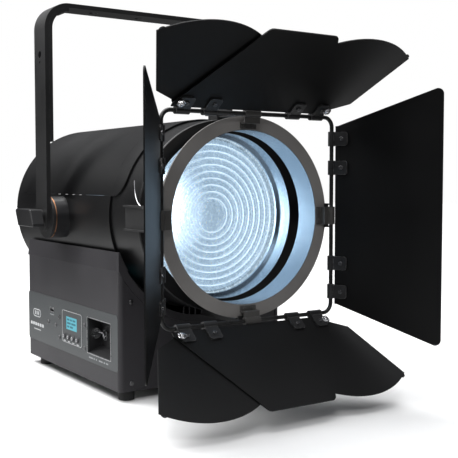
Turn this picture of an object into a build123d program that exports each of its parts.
"""LED Fresnel spotlight with yoke and four-leaf barn doors, in millimetres, +Z up.

The lens looks along -Y and the control panel is on the -X side. Lengths along Y are
measured from the tilt pivot here; save() then moves every node so that the origin is on
the standing surface, in the middle of the four feet.
"""
import os
from math import cos, pi, radians, sin, sqrt

from build123d import *

os.makedirs("parts", exist_ok=True)

# ---------------------------------------------------------------- clearances
fit_gap = 0.3                # between pieces that slide into each other
seam_gap = 0.4               # visible seams between covers
running_gap = 1.0            # between moving pieces that must never rub
friction_gap = 0.2           # between the boss and the friction washer

# ---------------------------------------------------------------- driving dimensions
lens_axis_z = 228.0          # height of the lens axis over the standing surface
pivot_drop = 6.0             # the tilt pivot lies this far below the lens axis
pivot_z = lens_axis_z - pivot_drop
far = 400.0                  # longer than the lamp, for cuts that run right through

lens_radius = 101.5
lens_edge_thickness = 8.0
lens_ring_count = 9
lens_ring_depth = 2.6
lens_flat_radius = 22.0
lens_dome = 1.5              # rise of the plain middle over the rings
sleeve_radius = lens_radius + running_gap
sleeve_wall = 2.0
nose_wall = 3.0
nose_face_width = 16.7       # from the sleeve's bore to the outside of the nose
nose_radius = sleeve_radius + nose_face_width
shell_wall = 2.5
shell_inner = nose_radius + fit_gap
shell_radius = shell_inner + shell_wall
parting_z = lens_axis_z + 25.0

body_front_y = -150.0        # front end of the lower housing and the top cover
body_rear_y = 162.0          # rear end of both
hood_front_y = body_front_y - 32.0
nose_front_y = hood_front_y - 41.0
nose_tail_y = body_front_y + 20.0
lens_front_y = nose_front_y + 27.0
frame_y = nose_front_y - 60.0  # plane of the barn door wire frame
rear_cap_depth = 20.0
rear_cap_wall = 3.0
rear_cap_round = 14.0

base_half_width = shell_radius
base_front_y = body_front_y - 26.0
base_rear_y = body_rear_y - 35.0
base_wall = 4.0
base_corner_radius = 6.0
base_side_top_z = lens_axis_z - 67.0
cradle_rise = 23.0           # height of the sloped shelf over the vertical base walls
cradle_top_z = base_side_top_z + cradle_rise
cradle_top_half_width = base_half_width - 3.5
cradle_bore_radius = shell_radius + 3.0
cradle_front_radius = cradle_bore_radius + 4.0
cradle_lip_radius = cradle_front_radius + 9.5
cradle_lip_depth = 6.0
foot_height = 12.0
foot_radius = 10.0
foot_pin_radius = 2.0
foot_inset_x = 17.0
foot_inset_front = 15.0
foot_inset_rear = 30.0
plate_thickness = 2.0

yoke_thickness = 6.0
yoke_side_gap = 22.0         # between the housing and the inside of an arm
yoke_width = 38.0
arm_inner = shell_radius + yoke_side_gap
arm_outer = arm_inner + yoke_thickness
yoke_top_z = pivot_z + 288.0
yoke_bend_radius = 35.0      # outside of the bend
yoke_hole_pitch = 71.0
yoke_hole_radius = 6.0
arm_hole_radius = 5.0
arm_hole_drop = 69.0         # from the top of the yoke to the hole in each arm
arm_pin_hole_radius = 1.8
arm_pin_hole_drop = 79.0
stiffener_thickness = 4.8
stiffener_bottom_z = pivot_z + 102.0
pivot_stud_radius = 5.0
pivot_hole_radius = pivot_stud_radius + 0.4
boss_radius = 28.5
boss_foot_radius = 22.5      # of the pad inside the housing
boss_foot_depth = 5.5        # how far that pad stands into the housing
pivot_pad_thickness = 3.6    # round pad on the inside of each arm
friction_washer_thickness = 1.4

ring_overhang = 1.3          # of the ring plate over the nose, outside and inside
ring_plate_outer = nose_radius + ring_overhang
ring_plate_inner = sleeve_radius + ring_overhang
ring_plate_thickness = 2.0
ring_plate_offset = 9.0      # from the rod plane back to the front of the ring plate
ring_collar_depth = 33.0
ring_collar_wall = 1.5
rod_radius = 2.5
frame_half = ring_plate_outer + 2.0  # from the lens axis to the middle of a rod
frame_corner_radius = 12.0
knuckle_wall = 2.0
knuckle_radius = rod_radius + knuckle_wall
knuckle_width = 18.0
knuckle_inset = 26.5         # from the frame's corner to the outer knuckles
knuckle_pitch = 36.0
leaf_thickness = 1.5
leaf_start = knuckle_radius + 0.7  # from the hinge axis to the edge of the sheet
leaf_hinge_half = frame_half - 10.5
leaf_corner_radius = 7.0
side_leaf_length = 143.0
side_leaf_flare = 43.0       # how much wider each half is at its far edge
end_leaf_length = 129.0
end_leaf_taper = 66.0        # how much narrower each half is at its far edge
wing_pivot_u = leaf_hinge_half - 8.0
wing_pivot_v = 14.0
wing_radius = 115.5
wing_thickness = 1.2
wing_gap = 0.4
# opening of each leaf, in degrees from straight ahead
leaf_opening = {"top": 38.3, "right": 24.8, "bottom": 38.5, "left": 35.3}
leaf_turn = {"top": 0.0, "right": 90.0, "bottom": 180.0, "left": 270.0}

panel_front_y = base_front_y + 4.0
panel_rear_y = base_rear_y - 1.0
panel_bottom_z = 36.0
panel_top_z = 107.0
panel_thickness = 2.0
panel_corner_radius = 5.0
panel_rim = 10.0             # of the base wall behind the panel, at its ends
pocket_length = 68.0
pocket_front_y = panel_front_y + 20.0
pocket_rear_y = pocket_front_y + pocket_length
pocket_bottom_z = 48.0
pocket_top_z = 93.5
pocket_wall = 1.6
socket_radius = 7.0
pocket_depth = 2 * socket_radius + 4.0
socket_depth = 16.0          # behind the pocket's wall
bezel_front_y = pocket_rear_y + 17.0
bezel_rear_y = bezel_front_y + 67.0
bezel_bottom_z = 49.0
bezel_top_z = 95.0
bezel_corner_radius = 4.0
bezel_proud = 0.2
screen_front_y = bezel_front_y + 17.0
screen_rear_y = screen_front_y + 36.0
screen_bottom_z = bezel_top_z - 26.3
screen_top_z = bezel_top_z - 8.7
button_radius = 3.6
button_z = bezel_bottom_z + 9.5
button_pitch = 14.5
button_first_y = bezel_rear_y - 9.3
button_proud = 2.4
button_stem = 9.0
usb_half_length = 7.0
usb_half_height = 3.2
usb_wall = 0.7
usb_y = bezel_rear_y + 35.5
usb_z = panel_top_z - 18.0
panel_screw_radius = 1.5

rod_circle = shell_inner - 16.5    # guide rods lie on this radius round the lens axis
guide_rod_radius = 4.0
guide_rod_angles = (30.0, 150.0, 250.0)
screw_circle = rod_circle - 15.0
screw_angle = 290.0
lead_screw_radius = 4.0
bulkhead_thickness = 4.0
bulkhead_bore = screw_circle - 8.0
front_bulkhead_y = nose_tail_y + 2.0
rear_bulkhead_y = body_rear_y - 26.0
bush_wall = 3.0
bush_reach = 6.0             # how far the bushes stand out of the carriage plate
carriage_y = front_bulkhead_y + 68.0  # front of the carriage plate with the zoom half way
carriage_radius = shell_inner - 7.5
carriage_thickness = 5.0
sink_radius = 74.0
sink_base = 6.0
sink_depth = 62.0
fin_pitch = 9.0
fin_thickness = 1.5
fan_size = 92.0
fan_depth = 25.0
fan_wall = 3.0               # between the fan's bore and the outside of its frame
fan_hub_radius = 19.0
motor_size = 42.0
motor_depth = 28.0

# ---------------------------------------------------------------- small helpers


def block(x, y, z):
    """A box from its ranges along X, Y and Z."""
    centre = Pos((x[0] + x[1]) / 2, (y[0] + y[1]) / 2, (z[0] + z[1]) / 2)
    return centre * Box(x[1] - x[0], y[1] - y[0], z[1] - z[0])


def rod_x(radius, x, y, z):
    """A cylinder along X, with x as its range."""
    return Pos((x[0] + x[1]) / 2, y, z) * Rot(0, 90, 0) * Cylinder(radius, x[1] - x[0])


def rod_y(radius, y, x=0.0, z=lens_axis_z):
    """A cylinder along Y, with y as its range, round the lens axis unless told otherwise."""
    return Pos(x, (y[0] + y[1]) / 2, z) * Rot(90, 0, 0) * Cylinder(radius, y[1] - y[0])


def rod_z(radius, z, x, y):
    """A cylinder along Z, with z as its range."""
    return Pos(x, y, (z[0] + z[1]) / 2) * Cylinder(radius, z[1] - z[0])


def tube_y(outer, inner, y):
    """A tube round the lens axis."""
    return rod_y(outer, y) - rod_y(inner, (y[0] - 1, y[1] + 1))


def turned(shape, angle):
    """The shape turned round the lens axis, positive from the top towards +X."""
    return Pos(0, 0, lens_axis_z) * Rot(0, angle, 0) * Pos(0, 0, -lens_axis_z) * shape


def on_circle(radius, angle):
    """X and Z of a point on a circle round the lens axis, the angle counted from +X."""
    return radius * cos(radians(angle)), lens_axis_z + radius * sin(radians(angle))


def one_side(side, x):
    """An X range on one side, from two distances off the middle."""
    return tuple(sorted((side * x[0], side * x[1])))


def plate_x(x, y, z, corner):
    """A plate across X with rounded corners."""
    outline = Plane.YZ * RectangleRounded(y[1] - y[0], z[1] - z[0], corner)
    slab = extrude(outline, x[1] - x[0])
    return Pos(x[0], (y[0] + y[1]) / 2, (z[0] + z[1]) / 2) * slab


def rounded_slab(shape, radius, axis=Axis.Z):
    """The shape with every edge along the axis rounded."""
    return fillet(shape.edges().filter_by(axis), radius)


def save(name, *solids):
    """Write one node from the row's origin; several separate solids make one group."""
    to_origin = Pos(0, -(foot_y[0] + foot_y[1]) / 2, 0)
    pieces = [to_origin * solid for shape in solids for solid in shape.solids()]
    shape = pieces[0] if len(pieces) == 1 else Compound(pieces)
    export_step(shape, f"parts/{name}.step")


# ---------------------------------------------------------------- base
base_bottom_z = foot_height
deck_z = base_bottom_z + plate_thickness
post_width = base_wall + 3.0
front_plate_thickness = 3.0
front_plate_y = base_front_y + 1.0
front_plate_rear_y = front_plate_y + front_plate_thickness
front_tab_depth = 4.0
front_tab_half = 8.0
front_screw_radius = 1.5
front_screw_x = base_half_width - 17.0
front_screw_z = (base_bottom_z + 10.0, base_side_top_z - 38.0)
slot_pitch = 18.0
slot_half_width = 2.0


def base_outline(inset):
    """The base block, its walls moved in by the inset."""
    return block(
        (-base_half_width + inset, base_half_width - inset),
        (base_front_y + inset, base_rear_y - inset),
        (base_bottom_z, base_side_top_z),
    )


def make_base_shell():
    shell = rounded_slab(base_outline(0), base_corner_radius) - base_outline(base_wall)
    shell -= block(
        (-base_half_width + post_width, base_half_width - post_width),
        (base_front_y - 1, base_front_y + base_wall + 1),
        (base_bottom_z - 1, base_side_top_z + 1),
    )
    for side in (-1, 1):
        for z in front_screw_z:
            shell += block(
                one_side(side, (front_screw_x - front_tab_half, base_half_width - base_wall + 0.5)),
                (front_plate_rear_y, front_plate_rear_y + front_tab_depth),
                (z - front_tab_half, z + front_tab_half),
            )
            tapped = (front_plate_rear_y - 1, front_plate_rear_y + front_tab_depth + 1)
            shell -= rod_y(front_screw_radius, tapped, side * front_screw_x, z)
    shell -= rod_y(cradle_bore_radius, (-far, far))
    recess = plate_x(
        (-base_half_width - 1, -base_half_width + panel_thickness),
        (panel_front_y - fit_gap, panel_rear_y + fit_gap),
        (panel_bottom_z - fit_gap, panel_top_z + fit_gap),
        panel_corner_radius,
    )
    window = block(
        (-base_half_width - 1, -base_half_width + base_wall + 1),
        (panel_front_y + panel_rim, panel_rear_y - panel_rim),
        (panel_bottom_z + panel_rim / 2, panel_top_z - panel_rim / 2),
    )
    shell -= recess + window
    shell -= rod_y(cradle_lip_radius + fit_gap, (-far, base_front_y + cradle_lip_depth + fit_gap))
    # cooling slots low on the plain side
    side_wall = (base_half_width - base_wall - 1, base_half_width + 1)
    for i in range(12):
        y = (base_front_y + base_rear_y) / 2 + slot_pitch * (i - 5.5)
        shell -= block(side_wall, (y - slot_half_width, y + slot_half_width), (48, 96))
    # cooling slots in the rear wall
    rear_wall = (base_rear_y - base_wall - 1, base_rear_y + 1)
    for i in range(-4, 5):
        x = slot_pitch * i
        shell -= block((x - slot_half_width, x + slot_half_width), rear_wall, (36, 76))
    return shell


foot_x = base_half_width - foot_inset_x
foot_y = (base_front_y + foot_inset_front, base_rear_y - foot_inset_rear)
foot_places = [(sx * foot_x, y) for sx in (-1, 1) for y in foot_y]
foot_pin_top = deck_z + 4.0
foot_nut_radius = 4.0
foot_nut_height = 3.0


def make_bottom_plate():
    gap = base_wall + fit_gap
    plate = block(
        (-base_half_width + gap, base_half_width - gap),
        (front_plate_rear_y + fit_gap, base_rear_y - gap),
        (base_bottom_z, deck_z),
    )
    for x, y in foot_places:
        plate -= rod_z(foot_pin_radius + friction_gap, (base_bottom_z - 1, deck_z + 1), x, y)
    return plate


def make_feet():
    """Round feet, each with a pin that stands through the bottom plate."""
    feet = []
    for x, y in foot_places:
        foot = rod_z(foot_radius, (0, foot_height), x, y)
        feet.append(foot + rod_z(foot_pin_radius, (foot_height, foot_pin_top), x, y))
    return feet


def make_front_plate():
    gap = post_width + fit_gap
    plate = block(
        (-base_half_width + gap, base_half_width - gap),
        (front_plate_y, front_plate_rear_y),
        (base_bottom_z, base_side_top_z),
    )
    plate -= rod_y(cradle_lip_radius + fit_gap, (-far, far))
    for side in (-1, 1):
        for z in front_screw_z:
            plate -= rod_y(front_screw_radius + friction_gap, (-far, far), side * front_screw_x, z)
    return plate


def pan_screw(head_radius, head_height, shank_radius, length):
    """A pan head screw along +Z, its head underside at the origin and its shank below."""
    head = Pos(0, 0, head_height / 2) * Cylinder(head_radius, head_height)
    head = fillet(head.edges().filter_by(GeomType.CIRCLE).sort_by(Axis.Z)[-1], head_height * 0.6)
    drive = Pos(0, 0, head_height) * (Box(head_radius, 0.7, 1.0) + Box(0.7, head_radius, 1.0))
    return head + Pos(0, 0, -length / 2) * Cylinder(shank_radius, length) - drive


def make_chassis_screws():
    """The front plate's screws and the nuts on the pins of the feet."""
    screw = pan_screw(front_screw_radius * 2, 1.8, front_screw_radius,
                      front_plate_thickness + front_tab_depth)
    fasteners = []
    for side in (-1, 1):
        for z in front_screw_z:
            fasteners.append(Pos(side * front_screw_x, front_plate_y, z) * Rot(90, 0, 0) * screw)
    nut = extrude(RegularPolygon(foot_nut_radius, 6), foot_nut_height)
    nut -= Cylinder(foot_pin_radius, foot_nut_height * 4)
    for x, y in foot_places:
        fasteners.append(Pos(x, y, deck_z) * nut)
    return fasteners


def make_cradle():
    profile = Polyline(
        (-base_half_width, base_side_top_z),
        (-cradle_top_half_width, cradle_top_z),
        (cradle_top_half_width, cradle_top_z),
        (base_half_width, base_side_top_z),
        close=True,
    )
    rails = extrude(Plane.XZ * make_face(profile), base_rear_y - base_front_y)
    rails = Pos(0, base_rear_y, 0) * rails
    lip_rear_y = base_front_y + cradle_lip_depth
    lip = tube_y(cradle_lip_radius, cradle_front_radius, (base_front_y, lip_rear_y))
    lip &= block((-base_half_width, base_half_width), (-far, far), (0, cradle_top_z))
    cradle = rails + lip - rod_y(cradle_bore_radius, (lip_rear_y, far))
    return cradle - rod_y(cradle_front_radius, (-far, lip_rear_y))


# ---------------------------------------------------------------- round housing
boss_inner_x = shell_inner - boss_foot_depth
louvre_pitch = 20.0
louvre_half_width = 3.0
hood_corner_radius = 24.0


def make_lower_housing():
    shell = tube_y(shell_radius, shell_inner, (body_front_y, body_rear_y))
    shell &= block((-far, far), (-far, far), (0, parting_z))
    for side in (-1, 1):
        shell -= rod_x(pivot_hole_radius, one_side(side, (boss_inner_x, arm_outer)), 0, pivot_z)
    # louvres under the housing, inside the base, that let the air through
    for i in range(10):
        y = base_front_y + 96 + louvre_pitch * i
        shell -= block((-45, 45), (y - louvre_half_width, y + louvre_half_width), (0, lens_axis_z - 60))
    return shell


def make_top_cover():
    shell = tube_y(shell_radius, shell_inner, (body_front_y, body_rear_y))
    return shell & block((-far, far), (-far, far), (parting_z + seam_gap, far * 2))


def make_front_hood():
    """The top arch over the nose, its front corners cut back in a curve."""
    y = (hood_front_y, body_front_y - seam_gap)
    arch = tube_y(shell_radius, shell_inner, y)
    window = block((-far, far), y, (parting_z, far * 2))
    corner = window.edges().filter_by(Axis.X).sort_by(Axis.Z)[:2].sort_by(Axis.Y)[0]
    return arch & fillet(corner, hood_corner_radius)


def make_nose_barrel():
    outer = tube_y(nose_radius, nose_radius - nose_wall, (nose_front_y, nose_tail_y))
    outer_edge = outer.edges().filter_by(GeomType.CIRCLE).sort_by(Axis.Y)[:2].sort_by(SortBy.LENGTH)[-1]
    outer = fillet(outer_edge, nose_wall - 0.5)
    face = tube_y(nose_radius - 1, sleeve_radius, (nose_front_y, nose_front_y + nose_wall))
    sleeve_tail = lens_front_y + lens_edge_thickness + 8
    sleeve = tube_y(sleeve_radius + sleeve_wall, sleeve_radius, (nose_front_y, sleeve_tail))
    stop = tube_y(sleeve_radius + sleeve_wall, lens_radius - 2.5, (lens_front_y - 3, lens_front_y))
    barrel = outer + face + sleeve + stop
    # three webs tie the sleeve to the outer wall
    web = block((-2, 2), (nose_front_y + 1, sleeve_tail),
                (lens_axis_z + sleeve_radius + 1, lens_axis_z + nose_radius - 1))
    for angle in (60, 180, 300):
        barrel += turned(web, angle)
    return barrel


vent_radius = shell_radius - rear_cap_round - 12.0
vent_pitch = 12.0
vent_half_width = 2.5
vent_rib_half = 3.0


def make_rear_cover():
    start = body_rear_y + seam_gap
    cap = rod_y(shell_radius, (start, start + rear_cap_depth))
    cap = fillet(cap.edges().filter_by(GeomType.CIRCLE).sort_by(Axis.Y)[-1], rear_cap_round)
    hollow = rod_y(shell_inner, (start - 1, start + rear_cap_depth - rear_cap_wall))
    hollow_edge = hollow.edges().filter_by(GeomType.CIRCLE).sort_by(Axis.Y)[-1]
    cap -= fillet(hollow_edge, rear_cap_round - rear_cap_wall + 1)
    half_count = int((vent_radius - vent_rib_half) // vent_pitch)
    for i in range(-half_count, half_count + 1):
        x = i * vent_pitch
        half = sqrt(vent_radius ** 2 - x ** 2)
        for low, high in ((vent_rib_half, half), (-half, -vent_rib_half)):
            cap -= block((x - vent_half_width, x + vent_half_width), (start + 2, far),
                         (lens_axis_z + low, lens_axis_z + high))
    return cap


# ---------------------------------------------------------------- lens
def make_fresnel_lens():
    rear = lens_front_y + lens_edge_thickness
    step = (lens_radius - 3 - lens_flat_radius) / lens_ring_count
    points = [(0, lens_front_y - lens_dome), (lens_flat_radius, lens_front_y)]
    for i in range(lens_ring_count):
        r = lens_flat_radius + i * step
        points.append((r + 0.01, lens_front_y - lens_ring_depth * (0.45 + 0.05 * i)))
        points.append((r + step, lens_front_y))
    points += [(lens_radius, lens_front_y), (lens_radius, rear), (0, rear)]
    outline = Polyline(*points, close=True)
    lens = revolve(make_face(outline), Axis.Y)
    return Pos(0, 0, lens_axis_z) * lens


def make_lens_retainer():
    start = lens_front_y + lens_edge_thickness
    return tube_y(sleeve_radius - fit_gap, lens_radius - 6, (start, start + 5))


# ---------------------------------------------------------------- accessory brackets
plate_y = frame_y + ring_plate_offset
bracket_sheet = 2.0
bracket_reach = 26.0         # over the nose, behind its front face
bracket_half = 15.0
lip_thickness = 1.6
lip_grip = 3.5               # how far a lip reaches over the ring plate
lip_front = plate_y - lip_thickness - 1.4


def radial(low, high):
    """A Z range over the lens axis, for pieces that are turned round it afterwards."""
    return lens_axis_z + low, lens_axis_z + high


def make_bracket():
    """The bracket over the top of the nose; the others are turned copies."""
    strip_inner = ring_plate_outer + 0.7
    strip_outer = strip_inner + bracket_sheet
    flange_outer = strip_outer + 3.0
    half = (-bracket_half, bracket_half)
    rear = nose_front_y + bracket_reach
    bracket = block(half, (lip_front, rear), radial(strip_inner, strip_outer))
    bracket += block(half, (nose_front_y, rear), radial(nose_radius - 6, strip_outer))
    for side in (-1, 1):
        flange_x = one_side(side, (bracket_half - bracket_sheet, bracket_half))
        bracket += block(flange_x, (lip_front, rear), radial(strip_inner, flange_outer))
    lip_low = ring_plate_outer - lip_grip
    bracket += block(half, (lip_front, lip_front + lip_thickness), radial(lip_low, strip_outer))
    stop_y = plate_y + ring_plate_thickness + 0.5
    bracket += block(half, (stop_y, stop_y + bracket_sheet), radial(lip_low - 2.5, strip_outer))
    return bracket - rod_y(nose_radius, (nose_front_y, far))


def make_accessory_brackets():
    return [turned(make_bracket(), angle) for angle in (90, 180, 270)]


latch_pivot_z = lens_axis_z + nose_radius + 5.0
latch_pivot_y = nose_front_y + 12.0
latch_pin_radius = 1.5
latch_knuckle_radius = 3.5
latch_half = 6.0


def make_latch_bracket():
    ear_outer = latch_half + 3.0
    ears = block((-ear_outer, ear_outer), (latch_pivot_y - 10, latch_pivot_y + 10),
                 (lens_axis_z + nose_radius - 6, latch_pivot_z + 4))
    slot = latch_half + 0.5
    ears -= block((-slot, slot), (-far, far), (latch_pivot_z - latch_knuckle_radius - fit_gap, far))
    ears -= rod_y(nose_radius, (-far, far))
    ears -= rod_x(latch_pin_radius + 0.1, (-far, far), latch_pivot_y, latch_pivot_z)
    pin = rod_x(latch_pin_radius, (-ear_outer, ear_outer), latch_pivot_y, latch_pivot_z)
    return [ears, pin]


def make_accessory_latch():
    half = (-latch_half, latch_half)
    arm_low = lens_axis_z + ring_plate_outer + running_gap
    arm_top = arm_low + bracket_sheet
    latch = block(half, (lip_front, latch_pivot_y), (arm_low, arm_top))
    latch += rod_x(latch_knuckle_radius, half, latch_pivot_y, latch_pivot_z)
    latch += block(half, (latch_pivot_y - 3, latch_pivot_y + 22),
                   (latch_pivot_z + 1, latch_pivot_z + latch_knuckle_radius))
    latch += block(half, (lip_front, lip_front + lip_thickness),
                   (lens_axis_z + ring_plate_outer - lip_grip, arm_top))
    return latch - rod_x(latch_pin_radius + fit_gap, (-far, far), latch_pivot_y, latch_pivot_z)


# ---------------------------------------------------------------- light engine
screw_x, screw_z = on_circle(screw_circle, screw_angle)
motor_y = rear_bulkhead_y + bulkhead_thickness
sink_y = carriage_y + carriage_thickness
spreader_depth = 6.0
spreader_radius = 48.0
spreader_y = carriage_y - spreader_depth
pipe_radius = 3.0
pipe_places = [(sx * 1.5 * fin_pitch, lens_axis_z + dz) for sx in (-1, 1) for dz in (-24, 24)]
board_radius = 30.0
board_thickness = 2.0
emitter_radius = 19.0
emitter_thickness = 1.4
collimator_wall = 2.0
collimator_back_radius = board_radius + running_gap + collimator_wall
collimator_front_radius = 52.0
collimator_length = 30.0
fan_start = sink_y + sink_depth
fan_bore = fan_size / 2 - fan_wall
spindle_radius = 2.0
blade_count = 7


def make_bulkheads():
    mount = block((screw_x - motor_size / 2, screw_x + motor_size / 2),
                  (rear_bulkhead_y, motor_y),
                  (screw_z - motor_size / 4, screw_z + motor_size / 2))
    ring_outer = shell_inner - fit_gap
    front = tube_y(ring_outer, bulkhead_bore, (front_bulkhead_y, front_bulkhead_y + bulkhead_thickness))
    rear = tube_y(ring_outer, bulkhead_bore, (rear_bulkhead_y, motor_y)) + mount
    plates = []
    for plate in (front, rear):
        for angle in guide_rod_angles:
            plate -= rod_y(guide_rod_radius, (-far, far), *on_circle(rod_circle, angle))
        plate -= rod_y(lead_screw_radius + running_gap, (-far, far), screw_x, screw_z)
        plates.append(plate)
    return plates


def make_guide_rods():
    y = (front_bulkhead_y, motor_y)
    return [rod_y(guide_rod_radius, y, *on_circle(rod_circle, angle)) for angle in guide_rod_angles]


def make_lead_screw():
    return rod_y(lead_screw_radius, (front_bulkhead_y + 1, motor_y + 6), screw_x, screw_z)


def make_zoom_motor():
    half = motor_size / 2
    body = block((screw_x - half, screw_x + half), (motor_y, motor_y + motor_depth),
                 (screw_z - half, screw_z + half))
    body = rounded_slab(body, 4.0, Axis.Y)
    return body - rod_y(lead_screw_radius + running_gap, (motor_y - 1, motor_y + 8), screw_x, screw_z)


def make_carriage():
    plate = rod_y(carriage_radius, (carriage_y, sink_y))
    for angle in guide_rod_angles:
        plate -= rod_y(guide_rod_radius + bush_wall, (-far, far), *on_circle(rod_circle, angle))
    plate -= rod_y(lead_screw_radius + bush_wall, (-far, far), screw_x, screw_z)
    # lightening holes
    for i in range(6):
        plate -= rod_y(9.0, (-far, far), *on_circle(screw_circle - 2, 60 * i))
    for x, z in pipe_places:
        plate -= rod_y(pipe_radius, (-far, far), x, z)
    return plate


def make_bush(bore_radius, bush_radius, x, z):
    y = (carriage_y - bush_reach, sink_y + bush_reach)
    return rod_y(bush_radius, y, x, z) - rod_y(bore_radius, (-far, far), x, z)


def make_carriage_bushes():
    bushes = []
    for angle in guide_rod_angles:
        x, z = on_circle(rod_circle, angle)
        bushes.append(make_bush(guide_rod_radius + 0.05, guide_rod_radius + bush_wall, x, z))
    bushes.append(make_bush(lead_screw_radius + friction_gap, lead_screw_radius + bush_wall, screw_x, screw_z))
    return bushes


def make_heat_spreader():
    plate = rod_y(spreader_radius, (spreader_y, carriage_y))
    for x, z in pipe_places:
        plate -= rod_y(pipe_radius, (carriage_y - 2, carriage_y + 1), x, z)
    return plate


def make_led_module():
    board_front = spreader_y - board_thickness
    board = rod_y(board_radius, (board_front, spreader_y))
    return board + rod_y(emitter_radius, (board_front - emitter_thickness, board_front))


def make_collimator():
    foot_front = spreader_y - board_thickness
    cone = Pos(0, foot_front - collimator_length / 2, lens_axis_z) * Rot(90, 0, 0)
    back, front = collimator_back_radius, collimator_front_radius
    wall = collimator_wall
    outer = cone * Cone(back, front, collimator_length)
    inner = cone * Cone(back - wall, front - wall, collimator_length + 0.02)
    return outer - inner + tube_y(back, back - wall, (foot_front, spreader_y))


def make_heat_sink():
    sink = rod_y(sink_radius, (sink_y, sink_y + sink_base))
    count = int(sink_radius // fin_pitch)
    for i in range(-count, count + 1):
        x = i * fin_pitch
        half = sqrt(sink_radius ** 2 - x ** 2) - 1.0
        sink += block((x - fin_thickness / 2, x + fin_thickness / 2),
                      (sink_y + sink_base - 1, fan_start), (lens_axis_z - half, lens_axis_z + half))
    for x, z in pipe_places:
        sink -= rod_y(pipe_radius, (sink_y - 1, sink_y + sink_base + 2), x, z)
    return sink


def make_heat_pipes():
    return [rod_y(pipe_radius, (carriage_y - 2, fan_start), x, z) for x, z in pipe_places]


def make_fan_frame():
    half = fan_size / 2
    body = block((-half, half), (fan_start, fan_start + fan_depth), (lens_axis_z - half, lens_axis_z + half))
    body = rounded_slab(body, 5.0, Axis.Y) - rod_y(fan_bore, (fan_start - 1, fan_start + fan_depth + 1))
    spoke_y = (fan_start, fan_start + 2.5)
    body += block((-half + 1, half - 1), spoke_y, (lens_axis_z - 2, lens_axis_z + 2))
    body += block((-2, 2), spoke_y, (lens_axis_z - half + 1, lens_axis_z + half - 1))
    hub = rod_y(fan_hub_radius - 1, (fan_start, fan_start + 3))
    return body + hub + rod_y(spindle_radius, (fan_start, fan_start + 12))


def make_fan_rotor():
    y = (fan_start + 4.0, fan_start + 22.0)
    rotor = rod_y(fan_hub_radius, y) - rod_y(spindle_radius + 0.1, (y[0] - 1, y[0] + 9))
    blade_middle = (fan_hub_radius + fan_bore) / 2
    blade = Pos(0, (y[0] + y[1]) / 2, lens_axis_z + blade_middle) * Rot(0, 0, 38) * Box(1.6, 22, fan_bore - 17)
    blade &= tube_y(fan_bore - 2 * running_gap, fan_hub_radius - 5, y)
    for i in range(blade_count):
        rotor += turned(blade, 360 / blade_count * i)
    return rotor


# ---------------------------------------------------------------- electronics in the base
boards_x = (-20.0, 90.0)
supply_y = (base_rear_y - 187.0, base_rear_y - 27.0)
driver_y = (base_front_y + 16.0, supply_y[0] - 12.0)
board_standoff = 8.0
board_sheet = 1.6


def corner_places(x, y, inset):
    """The four places set in from the corners of a board."""
    return [(px, py) for px in (x[0] + inset, x[1] - inset) for py in (y[0] + inset, y[1] - inset)]


def make_power_supply():
    body = block(boards_x, supply_y, (deck_z + 4, deck_z + 46))
    for x, y in corner_places(boards_x, supply_y, 6):
        body += rod_z(4, (deck_z, deck_z + 5), x, y)
    return body


def make_driver_board():
    top = deck_z + board_standoff + board_sheet
    board = block(boards_x, driver_y, (deck_z + board_standoff, top))
    for x, y in corner_places(boards_x, driver_y, 6):
        board += rod_z(3, (deck_z, deck_z + board_standoff + 0.5), x, y)
    for i in range(3):
        board += rod_z(8, (top - 0.5, top + 24), boards_x[0] + 25 + 24 * i, driver_y[0] + 20)
    return board + block((0, 60), (driver_y[1] - 46, driver_y[1] - 18), (top - 0.5, top + 20))


# ---------------------------------------------------------------- control panel
panel_x = (-base_half_width, -base_half_width + panel_thickness)
panel_through = (panel_x[0] - 1, panel_x[1] + 1)
bezel_x = (panel_x[0] - bezel_proud, panel_x[1])
button_places = [button_first_y - button_pitch * i for i in range(4)]
# from the rear edge of the display's bezel, and height
panel_screw_places = [(bezel_rear_y + dy, z) for dy, z in (
    (49.7, 69.8), (21.8, 69.1), (9.7, 81.8), (9.7, 53.6), (-75.0, 82.0), (-75.0, 51.3))]


def make_control_panel():
    panel = plate_x(panel_x, (panel_front_y, panel_rear_y), (panel_bottom_z, panel_top_z), panel_corner_radius)
    panel -= block(panel_through, (pocket_front_y, pocket_rear_y), (pocket_bottom_z, pocket_top_z))
    panel -= plate_x(
        panel_through,
        (bezel_front_y - fit_gap, bezel_rear_y + fit_gap),
        (bezel_bottom_z - fit_gap, bezel_top_z + fit_gap),
        bezel_corner_radius,
    )
    usb_y_half = usb_half_length + fit_gap
    usb_z_half = usb_half_height + fit_gap
    panel -= block(panel_through, (usb_y - usb_y_half, usb_y + usb_y_half),
                   (usb_z - usb_z_half, usb_z + usb_z_half))
    for y, z in panel_screw_places:
        panel -= rod_x(panel_screw_radius + 0.1, panel_through, y, z)
    return panel


def make_panel_screws():
    screw = pan_screw(2 * panel_screw_radius, 1.2, panel_screw_radius, panel_thickness + 1.8)
    return [Pos(-base_half_width, y, z) * Rot(0, -90, 0) * screw for y, z in panel_screw_places]


def make_display_bezel():
    bezel = plate_x(bezel_x, (bezel_front_y, bezel_rear_y), (bezel_bottom_z, bezel_top_z), bezel_corner_radius)
    bezel -= block(panel_through, (screen_front_y, screen_rear_y), (screen_bottom_z, screen_top_z))
    for y in button_places:
        bezel -= rod_x(button_radius + fit_gap, panel_through, y, button_z)
    return bezel


screen_frame = 4.0           # of the display module round the glass
screen_module_depth = 5.0


def make_display_screen():
    glass = block((bezel_x[0] + 0.4, bezel_x[1]), (screen_front_y, screen_rear_y),
                  (screen_bottom_z, screen_top_z))
    module = block((bezel_x[1], bezel_x[1] + screen_module_depth),
                   (screen_front_y - screen_frame, screen_rear_y + screen_frame),
                   (screen_bottom_z - screen_frame, screen_top_z + screen_frame))
    return glass + module


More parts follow.
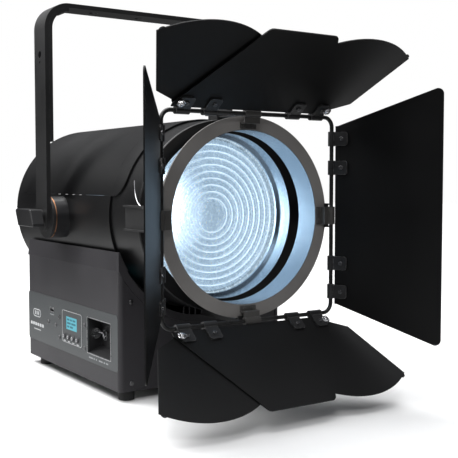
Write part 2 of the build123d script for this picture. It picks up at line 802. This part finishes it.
def make_control_board():
    x = bezel_x[1] + button_stem
    board = block((x, x + board_sheet), (bezel_front_y, bezel_rear_y), (bezel_bottom_z, bezel_top_z))
    spacer_x = (bezel_x[1] + screen_module_depth + friction_gap, x + 0.5)
    return board + block(spacer_x, (screen_front_y, screen_rear_y), (screen_bottom_z, screen_top_z))


def make_button(y):
    cap = rod_x(button_radius, (bezel_x[0] - button_proud, bezel_x[1] + 1.0), y, button_z)
    cap = fillet(cap.edges().filter_by(GeomType.CIRCLE).sort_by(Axis.X)[0], 0.8)
    flange = rod_x(button_radius + 1.2, (bezel_x[1] + 0.4, bezel_x[1] + 1.6), y, button_z)
    stem = rod_x(1.5, (bezel_x[1] + 1.0, bezel_x[1] + button_stem - 2.5), y, button_z)
    return cap + flange + stem


def make_usb_port():
    outside = panel_x[0] - fit_gap

    def slab(x, inset):
        y_half = usb_half_length - inset
        z_half = usb_half_height - inset
        return block(x, (usb_y - y_half, usb_y + y_half), (usb_z - z_half, usb_z + z_half))

    shell = slab((outside, panel_x[0] + 14), 0) - slab((outside - 1, panel_x[0] + 12), usb_wall)
    tongue = block((panel_x[0] + 1, panel_x[0] + 13), (usb_y - 5, usb_y + 5), (usb_z + 0.2, usb_z + 1.7))
    return shell + tongue


pocket_back_x = panel_x[1] + pocket_depth
pocket_floor_rise = 7.0
facing_front_x = pocket_back_x - socket_radius - 1.5
facing_front_z = 72.0
facing_side_y = pocket_rear_y - 15.0
facing_side_z = 70.5
socket_wall = 1.4


def make_connector_pocket():
    wall = pocket_wall
    outer = block((panel_x[1], pocket_back_x + wall), (pocket_front_y - wall, pocket_rear_y + wall),
                  (pocket_bottom_z - wall, pocket_top_z + wall))
    hollow = block((panel_x[1] - 1, pocket_back_x), (pocket_front_y, pocket_rear_y),
                   (pocket_bottom_z, pocket_top_z))
    pocket = outer - hollow
    slope = Polyline(
        (panel_x[1], pocket_bottom_z),
        (pocket_back_x, pocket_bottom_z),
        (pocket_back_x, pocket_bottom_z + pocket_floor_rise),
        close=True,
    )
    ramp = extrude(Plane.XZ * make_face(slope), pocket_length)
    pocket += Pos(0, pocket_rear_y, 0) * ramp
    for barrel in socket_barrels(socket_radius, 4.0, socket_depth):
        pocket -= barrel
    return pocket


def socket_barrels(radius, out, back):
    """Barrels in the pocket's rear wall and in its back wall, from out in the open to behind."""
    facing_front = rod_y(radius, (pocket_rear_y - out, pocket_rear_y + back), facing_front_x, facing_front_z)
    facing_side = rod_x(radius, (pocket_back_x - out, pocket_back_x + back), facing_side_y, facing_side_z)
    return [facing_front, facing_side]


def make_power_sockets():
    bodies = socket_barrels(socket_radius, 2.5, socket_depth)
    hollows = socket_barrels(socket_radius - socket_wall, 4.0, socket_depth - 7.0)
    facing_front, facing_side = [body - hollow for body, hollow in zip(bodies, hollows)]
    pin_radius = 0.8
    for angle in (45, 135, 225, 315):
        across = 3.0 * cos(radians(angle))
        up = 3.0 * sin(radians(angle))
        facing_front += rod_y(pin_radius, (pocket_rear_y, pocket_rear_y + 10),
                              facing_front_x + across, facing_front_z + up)
        facing_side += rod_x(pin_radius, (pocket_back_x, pocket_back_x + 10),
                             facing_side_y + across, facing_side_z + up)
    return [facing_front, facing_side]


# ---------------------------------------------------------------- yoke and pivots
pad_inner_x = arm_inner - pivot_pad_thickness
washer_inner_x = pad_inner_x - friction_washer_thickness
boss_outer_x = washer_inner_x - friction_gap


def u_outline(inset):
    """The U of the yoke, closed far below, its sides moved in by the inset."""
    half = arm_outer - inset
    top = yoke_top_z - inset
    height = top + far
    frame = Pos(0, 0, top - height / 2) * Box(2 * half, yoke_width, height)
    upper = frame.edges().filter_by(Axis.Y).sort_by(Axis.Z)[-2:]
    return fillet(upper, yoke_bend_radius - inset)


def u_hollow(inset):
    """The same U with room to spare at both faces, for cutting."""
    shift = yoke_width / 2
    return u_outline(inset) + Pos(0, shift, 0) * u_outline(inset) + Pos(0, -shift, 0) * u_outline(inset)


def arm_holes():
    """The bore and the small pin hole through both arms, near the top."""
    holes = rod_x(arm_hole_radius, (-far, far), 0, yoke_top_z - arm_hole_drop)
    return holes + rod_x(arm_pin_hole_radius, (-far, far), 0, yoke_top_z - arm_pin_hole_drop)


def make_yoke():
    half_width = yoke_width / 2
    bar = u_outline(0) - u_hollow(yoke_thickness)
    bar &= block((-far, far), (-far, far), (pivot_z, far * 2))
    for side in (-1, 1):
        bar += rod_x(half_width, one_side(side, (arm_inner, arm_outer)), 0, pivot_z)
        bar += rod_x(boss_radius, one_side(side, (pad_inner_x, arm_inner + 0.5)), 0, pivot_z)
    bar -= rod_x(pivot_hole_radius, (-far, far), 0, pivot_z)
    bar -= arm_holes()
    for i in (-1, 0, 1):
        bar -= rod_z(yoke_hole_radius, (yoke_top_z - yoke_thickness - 1, yoke_top_z + 1), i * yoke_hole_pitch, 0)
    return bar


def make_yoke_stiffeners():
    """The second layer of plate on the inside of each arm, up to the bend."""
    layer = u_outline(yoke_thickness) - u_hollow(yoke_thickness + stiffener_thickness)
    sides = []
    for side in (-1, 1):
        zone = block(one_side(side, (arm_outer - yoke_bend_radius, far)), (-far, far),
                     (stiffener_bottom_z, far * 2))
        sides.append((layer & zone) - arm_holes())
    return sides


def make_friction_washers():
    washers = []
    for side in (-1, 1):
        washer = rod_x(boss_radius, one_side(side, (washer_inner_x, pad_inner_x)), 0, pivot_z)
        washers.append(washer - rod_x(pivot_hole_radius, (-far, far), 0, pivot_z))
    return washers


def make_pivot_bosses():
    """Outside each wall a boss, and inside it the pad that the boss is screwed to."""
    bosses = []
    for side in (-1, 1):
        outer = rod_x(boss_radius, one_side(side, (boss_inner_x, boss_outer_x)), 0, pivot_z)
        inner = rod_x(boss_foot_radius, one_side(side, (boss_inner_x, shell_radius)), 0, pivot_z)
        pair = [outer - rod_y(shell_radius, (-far, far)), inner & rod_y(shell_inner, (-far, far))]
        bosses += [piece - rod_x(pivot_hole_radius, (-far, far), 0, pivot_z) for piece in pair]
    return bosses


handle_length = 56.0
handle_height = 23.0
handle_depth = 16.0
handle_slant = handle_height / 4
collar_depth = 9.0
collar_radius = 11.0


def make_tilt_lock_handle():
    base_x = -arm_outer - fit_gap
    grip_x = base_x - collar_depth
    half = handle_length / 2
    top = handle_height / 2
    outline = Polyline(
        (-half + handle_slant, top),
        (half + handle_slant, top),
        (half - handle_slant, -top),
        (-half - handle_slant, -top),
        close=True,
    )
    grip = extrude(Plane.YZ * make_face(outline), -handle_depth)
    grip = fillet(grip.edges().filter_by(Axis.X), 3.0)
    grip = fillet(grip.faces().sort_by(Axis.X)[0].edges(), 1.5)
    handle = Pos(grip_x, 0, pivot_z) * grip
    handle += rod_x(collar_radius, (grip_x, base_x), 0, pivot_z)
    return handle + rod_x(pivot_stud_radius, (grip_x - 2, -boss_inner_x), 0, pivot_z)


bolt_head_radius = 9.0
bolt_head_height = 8.0


def make_pivot_bolt():
    head = extrude(RegularPolygon(bolt_head_radius, 6), bolt_head_height)
    head = Pos(arm_outer, 0, pivot_z) * Rot(0, 90, 0) * head
    return head + rod_x(pivot_stud_radius, (boss_inner_x, arm_outer + 1), 0, pivot_z)


# ---------------------------------------------------------------- barn doors
knuckle_reach = frame_half - knuckle_inset
knuckle_places = (-knuckle_reach, knuckle_pitch - knuckle_reach, knuckle_reach - knuckle_pitch, knuckle_reach)
knuckle_screw_radius = 1.3
screw_v = 14.0               # from the hinge axis to the screws of the knuckles
tab_thickness = 2.0
tab_length = 21.0
tab_corner_radius = 3.5
wing_rivet_radius = 2.0


def make_barn_ring():
    plate = tube_y(ring_plate_outer, ring_plate_inner, (plate_y, plate_y + ring_plate_thickness))
    return plate + tube_y(ring_plate_inner + ring_collar_wall, ring_plate_inner,
                          (plate_y, plate_y + ring_collar_depth))


def make_frame_rod():
    """The square of round rod, from four sides that each end in a bend."""
    straight = frame_half - frame_corner_radius
    side = rod_x(rod_radius, (-straight, straight), frame_y, lens_axis_z + frame_half)
    corner = Pos(straight, frame_y, lens_axis_z + straight)
    bend = corner * Rot(90, 0, 0) * Torus(frame_corner_radius, rod_radius)
    side += bend & block((straight, far), (-far, 0), (lens_axis_z + straight, 2 * far))
    rod = side
    for i in (1, 2, 3):
        rod += turned(side, 90 * i)
    return rod


clip_half = 11.0
clip_sheet = 2.0


def make_ring_clips():
    """Four clips that are riveted to the ring plate and hold the rod."""
    half = (-clip_half, clip_half)
    web_low = ring_plate_outer - 9.5
    foot_low = ring_plate_inner + ring_collar_wall
    foot_rear_y = plate_y
    foot_front_y = plate_y - clip_sheet
    clip = rod_x(knuckle_radius, half, frame_y, lens_axis_z + frame_half)
    clip += block(half, (frame_y - clip_sheet / 2, frame_y + clip_sheet / 2), radial(web_low, frame_half))
    clip += block(half, (frame_y - clip_sheet / 2, foot_rear_y), radial(web_low, web_low + clip_sheet))
    clip += block(half, (foot_front_y, foot_rear_y), radial(foot_low, web_low + clip_sheet))
    clip -= rod_x(rod_radius + 0.1, (-far, far), frame_y, lens_axis_z + frame_half)
    for x in (-6, 6):
        clip += rod_y(2.0, (foot_front_y - 1.2, foot_front_y), x, lens_axis_z + foot_low + 3.2)
    return [turned(clip, 90 * i) for i in range(4)]


def leaf_plane(side):
    """The leaf's own plane: X along the hinge, Y away from it, Z out of the outer face."""
    turn = radians(leaf_turn[side])
    opening = radians(leaf_opening[side])
    outwards = Vector(sin(turn), 0, cos(turn))
    along = Vector(cos(turn), 0, -sin(turn))
    normal = Vector(0, 1, 0) * sin(opening) + outwards * cos(opening)
    origin = outwards * frame_half + Vector(0, frame_y, lens_axis_z)
    return Plane(origin=origin, x_dir=along * -1, z_dir=normal)


def leaf_outline(length, outer_half, straight_to):
    """A trapezoid from the hinge, its short straight ends first."""
    face = make_face(Polyline(
        (-leaf_hinge_half, leaf_start),
        (-leaf_hinge_half, straight_to),
        (-outer_half, length),
        (outer_half, length),
        (leaf_hinge_half, straight_to),
        (leaf_hinge_half, leaf_start),
        close=True,
    ))
    return fillet(face.vertices().sort_by(Axis.Y)[-2:], leaf_corner_radius)


def make_leaf(side):
    if side in ("left", "right"):
        outline = leaf_outline(side_leaf_length, leaf_hinge_half + side_leaf_flare, leaf_start + 3)
    else:
        outline = leaf_outline(end_leaf_length, leaf_hinge_half - end_leaf_taper, leaf_start + 6)
    sheet = extrude(outline, leaf_thickness)
    for u in knuckle_places:
        sheet -= Pos(u, screw_v, 0) * Cylinder(knuckle_screw_radius + 0.1, 10)
    if side in ("top", "bottom"):
        for sign in (-1, 1):
            sheet -= Pos(sign * wing_pivot_u, wing_pivot_v, 0) * Cylinder(wing_rivet_radius + 0.1, 10)
    return leaf_plane(side).location * sheet


def make_knuckles(side):
    """The hinge knuckles of one leaf with their screws."""
    plane = leaf_plane(side).location
    pieces = []
    for u in knuckle_places:
        sleeve = Pos(u, 0, 0) * Rot(0, 90, 0) * Cylinder(knuckle_radius, knuckle_width)
        tab = RectangleRounded(knuckle_width - 1, tab_length, tab_corner_radius)
        knuckle = sleeve + extrude(Pos(u, tab_length / 2 + 1) * tab, -tab_thickness)
        knuckle -= Pos(u, 0, 0) * Rot(0, 90, 0) * Cylinder(rod_radius + 0.25, far)
        # the sheet of the leaf lies against the tab, so the sleeve is cut away over it
        knuckle -= Pos(u, leaf_start + 20, 20) * Box(2 * knuckle_width, 40, 40)
        knuckle -= Pos(u, screw_v, 0) * Cylinder(knuckle_screw_radius + 0.1, 10)
        screw = pan_screw(2 * knuckle_screw_radius, 1.6, knuckle_screw_radius, tab_thickness + leaf_thickness)
        screw = Pos(u, screw_v, -tab_thickness) * Rot(180, 0, 0) * screw
        pieces += [plane * knuckle, plane * screw]
    return pieces


def wing_layer(sign):
    """Height of the wing's underside over the leaf's inner face."""
    layer = 0 if sign < 0 else 1
    return leaf_thickness + wing_gap + layer * (wing_thickness + wing_gap)


def make_wing(side, sign):
    """A fan-shaped wing that swings in the leaf's plane about its corner."""
    def at(radius, angle):
        u = wing_pivot_u + radius * sin(radians(angle))
        return sign * u, wing_pivot_v + radius * cos(radians(angle))

    inner, outer = -32.0, 36.5
    near, heel = 9.0, 35.0
    edges = [
        ThreePointArc(at(wing_radius, outer), at(wing_radius, (inner + outer) / 2), at(wing_radius, inner)),
        Line(at(wing_radius, inner), at(near, inner - 60)),
        ThreePointArc(at(near, inner - 60), at(near, 180), at(near, 100)),
        Line(at(near, 100), at(heel, 73)),
        Line(at(heel, 73), at(wing_radius, outer)),
    ]
    sheet = extrude(make_face(Wire(edges)), wing_thickness, dir=(0, 0, 1))
    sheet += Pos(*at(wing_radius - 2, outer - 3), wing_thickness / 2) * Cylinder(4, wing_thickness)
    sheet -= Pos(sign * wing_pivot_u, wing_pivot_v, 0) * Cylinder(wing_rivet_radius + 0.4, 10)
    return leaf_plane(side).location * Pos(0, 0, wing_layer(sign)) * sheet


def make_wing_rivets(side):
    """A stem through the leaf and the wing, a head at both ends and a spacer under the wing."""
    plane = leaf_plane(side).location
    rivets = []
    for sign in (-1, 1):
        top = wing_layer(sign) + wing_thickness + friction_gap
        spacer_depth = wing_layer(sign) - leaf_thickness - 0.1
        rivet = Pos(0, 0, top / 2) * Cylinder(wing_rivet_radius, top)
        rivet += Pos(0, 0, top + 0.7) * Cylinder(4.5, 1.4)
        rivet += Pos(0, 0, -0.6) * Cylinder(3.6, 1.2)
        rivet += Pos(0, 0, leaf_thickness + spacer_depth / 2) * Cylinder(4.0, spacer_depth)
        rivets.append(plane * Pos(sign * wing_pivot_u, wing_pivot_v, 0) * rivet)
    return rivets


# ---------------------------------------------------------------- write every node
save("base_shell", make_base_shell())
save("base_bottom_plate", make_bottom_plate())
save("base_front_plate", make_front_plate())
save("base_feet", *make_feet())
save("chassis_screws", *make_chassis_screws())
save("cradle", make_cradle())
save("lower_housing", make_lower_housing())
save("top_cover", make_top_cover())
save("front_hood", make_front_hood())
save("nose_barrel", make_nose_barrel())
save("rear_cover", make_rear_cover())
save("fresnel_lens", make_fresnel_lens())
save("lens_retainer", make_lens_retainer())
save("accessory_brackets", *make_accessory_brackets(), *make_latch_bracket())
save("accessory_latch", make_accessory_latch())
save("zoom_frame", *make_bulkheads(), *make_guide_rods())
save("lead_screw", make_lead_screw())
save("zoom_motor", make_zoom_motor())
save("led_carriage", make_carriage(), *make_carriage_bushes())
save("heat_spreader", make_heat_spreader())
save("led_module", make_led_module())
save("collimator", make_collimator())
save("heat_sink", make_heat_sink())
save("heat_pipes", *make_heat_pipes())
save("fan_frame", make_fan_frame())
save("fan_rotor", make_fan_rotor())
save("power_supply", make_power_supply())
save("circuit_boards", make_driver_board(), make_control_board())
save("control_panel", make_control_panel())
save("panel_screws", *make_panel_screws())
save("display_bezel", make_display_bezel())
save("display_screen", make_display_screen())
for number, place in enumerate(button_places, 1):
    save(f"button_{number}", make_button(place))
save("usb_port", make_usb_port())
save("connector_pocket", make_connector_pocket())
save("power_sockets", *make_power_sockets())
save("yoke", make_yoke())
save("yoke_stiffeners", *make_yoke_stiffeners())
save("friction_washers", *make_friction_washers())
save("pivot_bosses", *make_pivot_bosses())
save("tilt_lock_handle", make_tilt_lock_handle())
save("pivot_bolt", make_pivot_bolt())
save("barn_ring", make_barn_ring())
save("barn_frame_rod", make_frame_rod())
save("ring_clips", *make_ring_clips())
for name in leaf_turn:
    save(f"leaf_{name}", make_leaf(name))
for name in ("left", "right"):
    save(f"knuckles_{name}", *make_knuckles(name))
for name in ("top", "bottom"):
    save(f"knuckles_{name}", *make_knuckles(name), *make_wing_rivets(name))
    save(f"wing_{name}_a", make_wing(name, -1))
    save(f"wing_{name}_b", make_wing(name, 1))
